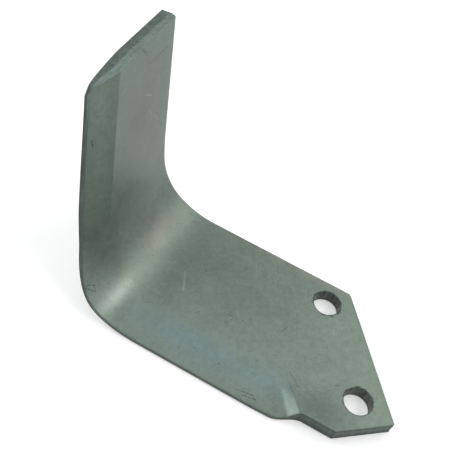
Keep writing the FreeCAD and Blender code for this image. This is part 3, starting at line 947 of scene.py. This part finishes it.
    def segments(self, bench: NodeBench, place: object) -> tuple[object, object]:
        """Dark and light marks: distance to each line, with edges broken by noise.

        The share of the way along a line is ((p - a) . (b - a)) / |b - a|^2, held to 0..1.

        Args:
            bench: nodes of the material.
            place: socket of run and across in millimetres.

        Returns:
            Sockets of the dark and the light marks, 0 to 1.
        """
        wobble = bench.noise(place, 1.1, 3.0, 0.6)
        dark, light = None, None
        for mark in self.marks:
            ahead = (mark.end[0] - mark.start[0], mark.end[1] - mark.start[1], 0.0)
            square = ahead[0] ** 2 + ahead[1] ** 2
            gone = bench.vector("SUBTRACT", place, (*mark.start, 0.0))
            dot = bench.vector("DOT_PRODUCT", gone, ahead, output="Value")
            share = bench.math("MULTIPLY", dot, 1.0 / square, clamp=True)
            nearest = bench.add("ShaderNodeVectorMath", p_operation="SCALE", i0=ahead,
                                Scale=share).outputs[0]
            away = bench.vector("DISTANCE", gone, nearest, output="Value")
            ragged = bench.math("MULTIPLY", away, bench.ramp(wobble, 0.32, 0.66, 0.6, 3.2))
            mask = bench.ramp(ragged, 0.0, mark.width * 1.15, abs(mark.tone) * 0.8, 0.0)
            if mark.tone < 0.0:
                dark = mask if dark is None else bench.math("MAXIMUM", dark, mask)
            else:
                light = mask if light is None else bench.math("MAXIMUM", light, mask)
        return dark, light

    def hole_masks(self, bench: NodeBench, place: object) -> tuple[object, object]:
        """Walls of the bolt holes and the dark line round their rims.

        The distance from a hole's axis is sqrt(x^2 + (|y| - reach)^2) in object coordinates.

        Args:
            bench: nodes of the material.
            place: socket of the object coordinates.

        Returns:
            Sockets of the wall mask and of the rim line, 0 to 1.
        """
        parts = bench.add("ShaderNodeSeparateXYZ", Vector=place).outputs
        aside = bench.math("SUBTRACT", bench.math("ABSOLUTE", parts[1]), self.hole_reach)
        square = bench.math("ADD", bench.math("MULTIPLY", parts[0], parts[0]),
                            bench.math("MULTIPLY", aside, aside))
        away = bench.math("SQRT", square)
        r = self.hole_radius
        wall = bench.ramp(away, r + 0.00022, r + 0.0003, 1.0, 0.0)
        line = bench.ramp(away, r + 0.00025, r + 0.00075, 1.0, 0.0)
        return wall, line

    def skin_with_painted_light(self, bench: NodeBench, grains: dict[str, object]) -> object:
        """Colour of the skin: painted bluish light and warm highlight tints, painted light and
        shade by tone, clouds, mottling, grain.

        Args:
            bench: nodes of the material.
            grains: sockets of the noises.

        Returns:
            Socket of the colour.
        """
        # painted light and highlight: the cool and warm fields mix in bluish light and a warm
        # highlight tint, and some tint of the steel
        base = bench.mix(bench.attribute("cool"), linear(*self.base), linear(*self.blue))
        base = bench.mix(bench.attribute("warm"), base, linear(*self.warm))
        # painted light and shade: the shade field lightens and darkens the colour
        tone = bench.attribute("shade")
        for name, low, high in (("cloudy", 0.93, 1.07), ("mottle", 0.88, 1.12),
                                ("grain", 0.9, 1.1)):
            tone = bench.math("MULTIPLY", tone, bench.ramp(grains[name], 0.2, 0.8, low, high))
        skin = bench.mix(1.0, base, tone, "MULTIPLY")
        pitted = bench.math("MULTIPLY", grains["pit"], self.pit_dark)
        return bench.mix(pitted, skin, linear(*self.soot))

    def sheared_wall(self, bench: NodeBench, drag: object) -> object:
        """Colour of the sheared wall: burnished above, torn below, painted shade on the
        cutting-edge side and bolted end, with drag streaks.

        Args:
            bench: nodes of the material.
            drag: socket of the streaks.

        Returns:
            Socket of the colour.
        """
        burnished, sheared_and_shaded = linear(*self.burnished), linear(*self.sheared_and_shaded)
        shear = bench.mix(bench.ramp(bench.attribute("torn"), 0.2, 0.8), burnished, sheared_and_shaded)
        at_tip = bench.ramp(bench.attribute("tip"), 0.2, 0.9, 0.0, 0.75)
        shear = bench.mix(at_tip, shear, burnished)
        # painted shade: darkens the walls on the cutting-edge side and at the bolted end
        shear = bench.mix(bench.attribute("side"), shear, sheared_and_shaded)
        return bench.mix(1.0, shear, bench.ramp(drag, 0.25, 0.75, 0.68, 1.2), "MULTIPLY")

    def relief(self, bench: NodeBench, grains: dict[str, object], on_wall: object) -> object:
        """Bump of mottling, grain, pits and the streaks of the walls.

        Args:
            bench: nodes of the material.
            grains: sockets of the noises.
            on_wall: socket of the wall mask.

        Returns:
            Socket of the bumped normal.
        """
        high = bench.math("ADD", bench.math("MULTIPLY", grains["mottle"], 0.5),
                          bench.math("MULTIPLY", grains["grain"], 0.35))
        high = bench.math("SUBTRACT", high, bench.math("MULTIPLY", grains["pit"], 0.8))
        streaks = bench.math("MULTIPLY", grains["drag"], on_wall)
        high = bench.math("ADD", high, bench.math("MULTIPLY", streaks, 2.0))
        bump = bench.add("ShaderNodeBump", Height=high, Strength=self.bump_strength,
                         Distance=self.bump_height)
        return bump.outputs[0]

    def grains(self, bench: NodeBench, place: object) -> dict[str, object]:
        """Noises of the skin, from clouds of scale down to grain, pits and drag streaks.

        Args:
            bench: nodes of the material.
            place: socket of the object coordinates.

        Returns:
            One socket for each noise.
        """
        streak = bench.vector("MULTIPLY", place, (1.0, 1.0, 0.25))
        spots = bench.add("ShaderNodeTexVoronoi", Vector=place, Scale=420.0).outputs["Distance"]
        pit = bench.math("MULTIPLY", bench.ramp(spots, 0.08, 0.2, 1.0, 0.0),
                         bench.ramp(bench.noise(place, 55.0, 2.0), 0.52, 0.68))
        return {
            "cloudy": bench.noise(place, 85.0, 4.0, 0.6, 0.4),
            "mottle": bench.noise(place, 330.0, 4.0, 0.62, 0.3),
            "grain": bench.noise(place, 1300.0, 3.0, 0.6),
            "drag": bench.noise(streak, 520.0, 4.0, 0.6),
            "pit": pit,
        }

    def build(self) -> bpy.types.Material:
        """Make the material: scale with painted light and shade, then walls, painted dark edge
        lines, bolt holes and marks over it.

        Returns:
            The material.
        """
        material = bpy.data.materials.new(self.name)
        material.use_nodes = True
        tree = material.node_tree
        tree.nodes.clear()
        bench = NodeBench(tree)
        place = bench.add("ShaderNodeTexCoord").outputs["Object"]
        bar = bench.add("ShaderNodeUVMap", p_uv_map="Bar").outputs[0]
        bar_mm = bench.vector("MULTIPLY", bar, (1.0 / UV_PER_MM,) * 3)
        grains = self.grains(bench, place)
        soot = linear(*self.soot)

        skin = self.skin_with_painted_light(bench, grains)
        on_wall = bench.ramp(bench.attribute("wall"), 0.3, 0.6)
        skin = bench.mix(on_wall, skin, self.sheared_wall(bench, grains["drag"]))
        # painted shade: dark lines along the cutting edge, bolted end and side cut
        rim = bench.math("MULTIPLY", bench.attribute("painted_edge_shade"),
                         bench.ramp(grains["grain"], 0.3, 0.6, 0.5, 1.0))
        skin = bench.mix(bench.math("MULTIPLY", rim, self.painted_edge_shade_dark), skin, soot)
        hole, line = self.hole_masks(bench, place)
        bore = bench.mix(bench.ramp(grains["drag"], 0.35, 0.65), linear(*self.bore_dark),
                         linear(*self.bore_light))
        ragged = bench.math("MULTIPLY", line, bench.ramp(grains["mottle"], 0.35, 0.6, 0.35, 0.85))
        skin = bench.mix(hole, bench.mix(ragged, skin, soot), bore)
        inner = bench.attribute("inner")
        dark, light = (bench.math("MULTIPLY", mask, inner) for mask in
                       self.segments(bench, bar_mm))
        skin = bench.mix(light, bench.mix(dark, skin, soot), linear(*self.pale))

        rough = bench.ramp(grains["mottle"], 0.2, 0.8, self.rough - 0.05, self.rough + 0.07)
        rough = bench.math("ADD", rough, bench.math("MULTIPLY", on_wall, 0.08), clamp=True)
        shader = bench.add("ShaderNodeBsdfPrincipled", Base_Color=skin, Roughness=rough,
                           Normal=self.relief(bench, grains, on_wall))
        shader.inputs["Metallic"].default_value = self.metal
        shader.inputs["Specular IOR Level"].default_value = self.specular
        output = bench.add("ShaderNodeOutputMaterial")
        tree.links.new(shader.outputs[0], output.inputs[0])
        return material


@dataclass
class Blade:
    """The whole blade: its surface, its holes and its finish."""

    form: BladeForm = field(default_factory=BladeForm)
    holes: tuple[BoltHole, ...] = (BoltHole(28.5), BoltHole(-28.5))
    steel: ForgedSteel = field(default_factory=ForgedSteel)

    def blank(self) -> bpy.types.Object:
        """Make the blade without its holes.

        Returns:
            The object, with surface coordinates as a UV map and its masks as attributes.
        """
        data = self.form.faces()
        mesh = MeshMaker.mesh("tiller_blade_blank", data["points"], data["faces"])
        for name in ("wall", "torn", "painted_edge_shade", "shade", "inner", "cool", "warm", "side", "tip"):
            layer = mesh.attributes.new(name, "FLOAT", "POINT")
            layer.data.foreach_set("value", data[name].astype(np.float32))
        corner = np.empty(len(mesh.loops), dtype=np.int32)
        mesh.loops.foreach_get("vertex_index", corner)
        layer = mesh.uv_layers.new(name="Bar")
        places = data["surface"][corner]
        flat = np.stack([places[:, 0], places[:, 1] + places[:, 2] * 0.5], -1) * UV_PER_MM
        layer.data.foreach_set("uv", flat.astype(np.float32).ravel())
        blank = bpy.data.objects.new("tiller_blade_blank", mesh)
        bpy.context.scene.collection.objects.link(blank)
        return blank

    def build(self) -> bpy.types.Object:
        """Cut the bolt holes and dress the blade.

        Returns:
            The finished object.
        """
        steel = self.steel.build()
        blank = self.blank()
        blank.data.materials.append(steel)
        cutters = []
        for number, hole in enumerate(self.holes):
            points, quads = hole.cutter()
            mesh = MeshMaker.mesh(f"cutter_{number}", points, quads, hole.caps(len(points)))
            mesh.materials.append(steel)
            cutter = bpy.data.objects.new(f"cutter_{number}", mesh)
            bpy.context.scene.collection.objects.link(cutter)
            cut = blank.modifiers.new(f"hole_{number}", "BOOLEAN")
            cut.operation = "DIFFERENCE"
            cut.solver = "EXACT"
            cut.object = cutter
            cutters.append(cutter)
        graph = bpy.context.evaluated_depsgraph_get()
        mesh = bpy.data.meshes.new_from_object(blank.evaluated_get(graph), depsgraph=graph)
        mesh.name = "blade"
        for item in cutters + [blank]:
            old = item.data
            bpy.data.objects.remove(item)
            bpy.data.meshes.remove(old)
        mesh.shade_smooth()
        mesh.set_sharp_from_angle(angle=math.radians(38.0))
        piece = bpy.data.objects.new("blade", mesh)
        bpy.context.scene.collection.objects.link(piece)
        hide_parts(NODE)
        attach(piece, BODY)
        LOG.info("blade: %d faces", len(mesh.polygons))
        return piece


@dataclass(frozen=True)
class SoftLight:
    """One area lamp, aimed at the blade."""

    name: str
    direction: tuple[float, float, float]
    distance: float
    size: float
    power: float
    colour: tuple[float, float, float] = (1.0, 1.0, 1.0)

    def build(self, target: Vector) -> bpy.types.Object:
        """Place the lamp along its direction from the target and aim it there.

        Args:
            target: point it lights, in metres.

        Returns:
            The lamp.
        """
        data = bpy.data.lights.new(self.name, "AREA")
        data.shape = "SQUARE"
        data.size = self.size
        data.energy = self.power
        data.color = self.colour
        lamp = bpy.data.objects.new(self.name, data)
        away = Vector(self.direction).normalized()
        lamp.location = target + away * self.distance
        lamp.rotation_euler = away.to_track_quat("Z", "Y").to_euler()
        bpy.context.scene.collection.objects.link(lamp)
        return lamp


@dataclass
class Studio:
    """Pale floor, soft lamps, white surroundings and the camera."""

    eye: tuple[float, float, float] = (-0.15626, -0.172577, 0.338285)
    azimuth: float = -23.956
    elevation: float = 49.986
    roll: float = 16.418
    lens: float = 60.919
    world_level: float = 0.34
    lamps: tuple[SoftLight, ...] = (
        SoftLight("key", (0.70, 0.15, 0.68), 1.3, 0.6, 3.6, (1.0, 0.98, 0.93)),
        SoftLight("side", (0.49, -0.37, 0.79), 1.3, 0.4, 2.4),
        SoftLight("overhead", (-0.03, 0.23, 0.97), 1.3, 0.9, 3.0, (0.88, 0.97, 1.0)),
        SoftLight("back", (-0.63, 0.59, 0.51), 1.3, 0.6, 6.0),
    )

    def camera(self) -> None:
        """Add the camera: looking down at the blade, rolled about its own axis."""
        data = bpy.data.cameras.new("camera")
        data.lens = self.lens
        data.sensor_width = 36.0
        data.clip_start, data.clip_end = 0.01, 20.0
        camera = bpy.data.objects.new("camera", data)
        azimuth, elevation = math.radians(self.azimuth), math.radians(self.elevation)
        ahead = Vector((
            -math.sin(azimuth) * math.cos(elevation),
            math.cos(azimuth) * math.cos(elevation),
            -math.sin(elevation),
        ))
        level = ahead.to_track_quat("-Z", "Y").to_matrix().to_4x4()
        spin = Matrix.Rotation(math.radians(self.roll), 4, "Z")
        camera.matrix_world = Matrix.Translation(Vector(self.eye)) @ level @ spin
        bpy.context.scene.collection.objects.link(camera)
        bpy.context.scene.camera = camera

    @staticmethod
    def seen(bench: NodeBench) -> bpy.types.NodeSocket:
        """Value that is 1 for camera, glossy and transmission rays."""
        path = bench.add("ShaderNodeLightPath")
        seen = bench.math("MAXIMUM", path.outputs["Is Camera Ray"], path.outputs["Is Glossy Ray"])
        return bench.math("MAXIMUM", seen, path.outputs["Is Transmission Ray"])

    def surroundings(self) -> None:
        """Add the white world, dimmer as a source of light than it looks."""
        world = bpy.data.worlds.new("studio")
        world.use_nodes = True
        world.node_tree.nodes.clear()
        bench = NodeBench(world.node_tree)
        level = bench.ramp(self.seen(bench), 0.0, 1.0, self.world_level, 1.0)
        back = bench.add("ShaderNodeBackground", Color=(1.0, 1.0, 1.0, 1.0), Strength=level)
        output = bench.add("ShaderNodeOutputWorld")
        world.node_tree.links.new(back.outputs[0], output.inputs[0])
        bpy.context.scene.world = world

    def floor(self) -> bpy.types.Object:
        """Add the pale floor just under the blade; it keeps the blade's shadow."""
        half, low = 3.0, -0.0004
        square = [(-half, -half, low), (half, -half, low), (half, half, low), (-half, half, low)]
        mesh = bpy.data.meshes.new("floor")
        mesh.from_pydata(square, [], [(0, 1, 2, 3)])
        material = bpy.data.materials.new("Pale floor")
        material.use_nodes = True
        material.node_tree.nodes.clear()
        bench = NodeBench(material.node_tree)
        matt = bench.add("ShaderNodeBsdfDiffuse", Color=(0.82, 0.82, 0.82, 1.0))
        glow = bench.add("ShaderNodeEmission", Color=(1.0, 1.0, 1.0, 1.0),
                         Strength=bench.math("MULTIPLY", self.seen(bench), 0.45))
        both = bench.add("ShaderNodeAddShader")
        material.node_tree.links.new(matt.outputs[0], both.inputs[0])
        material.node_tree.links.new(glow.outputs[0], both.inputs[1])
        output = bench.add("ShaderNodeOutputMaterial")
        material.node_tree.links.new(both.outputs[0], output.inputs[0])
        mesh.materials.append(material)
        floor = bpy.data.objects.new("floor", mesh)
        bpy.context.scene.collection.objects.link(floor)
        return floor

    def build(self) -> None:
        """Set up the whole studio."""
        bpy.context.scene.view_settings.view_transform = "Standard"
        self.camera()
        self.surroundings()
        self.floor()
        for lamp in self.lamps:
            lamp.build(Vector((-0.06, 0.03, 0.04)))
        LOG.info("studio: %d lamps", len(self.lamps))


def main() -> None:
    """Load the frame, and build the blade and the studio."""
    logging.basicConfig(level=logging.INFO, format="%(name)s: %(message)s")
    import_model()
    Studio().build()
    Blade().build()


if __name__ == "__main__":
    main()
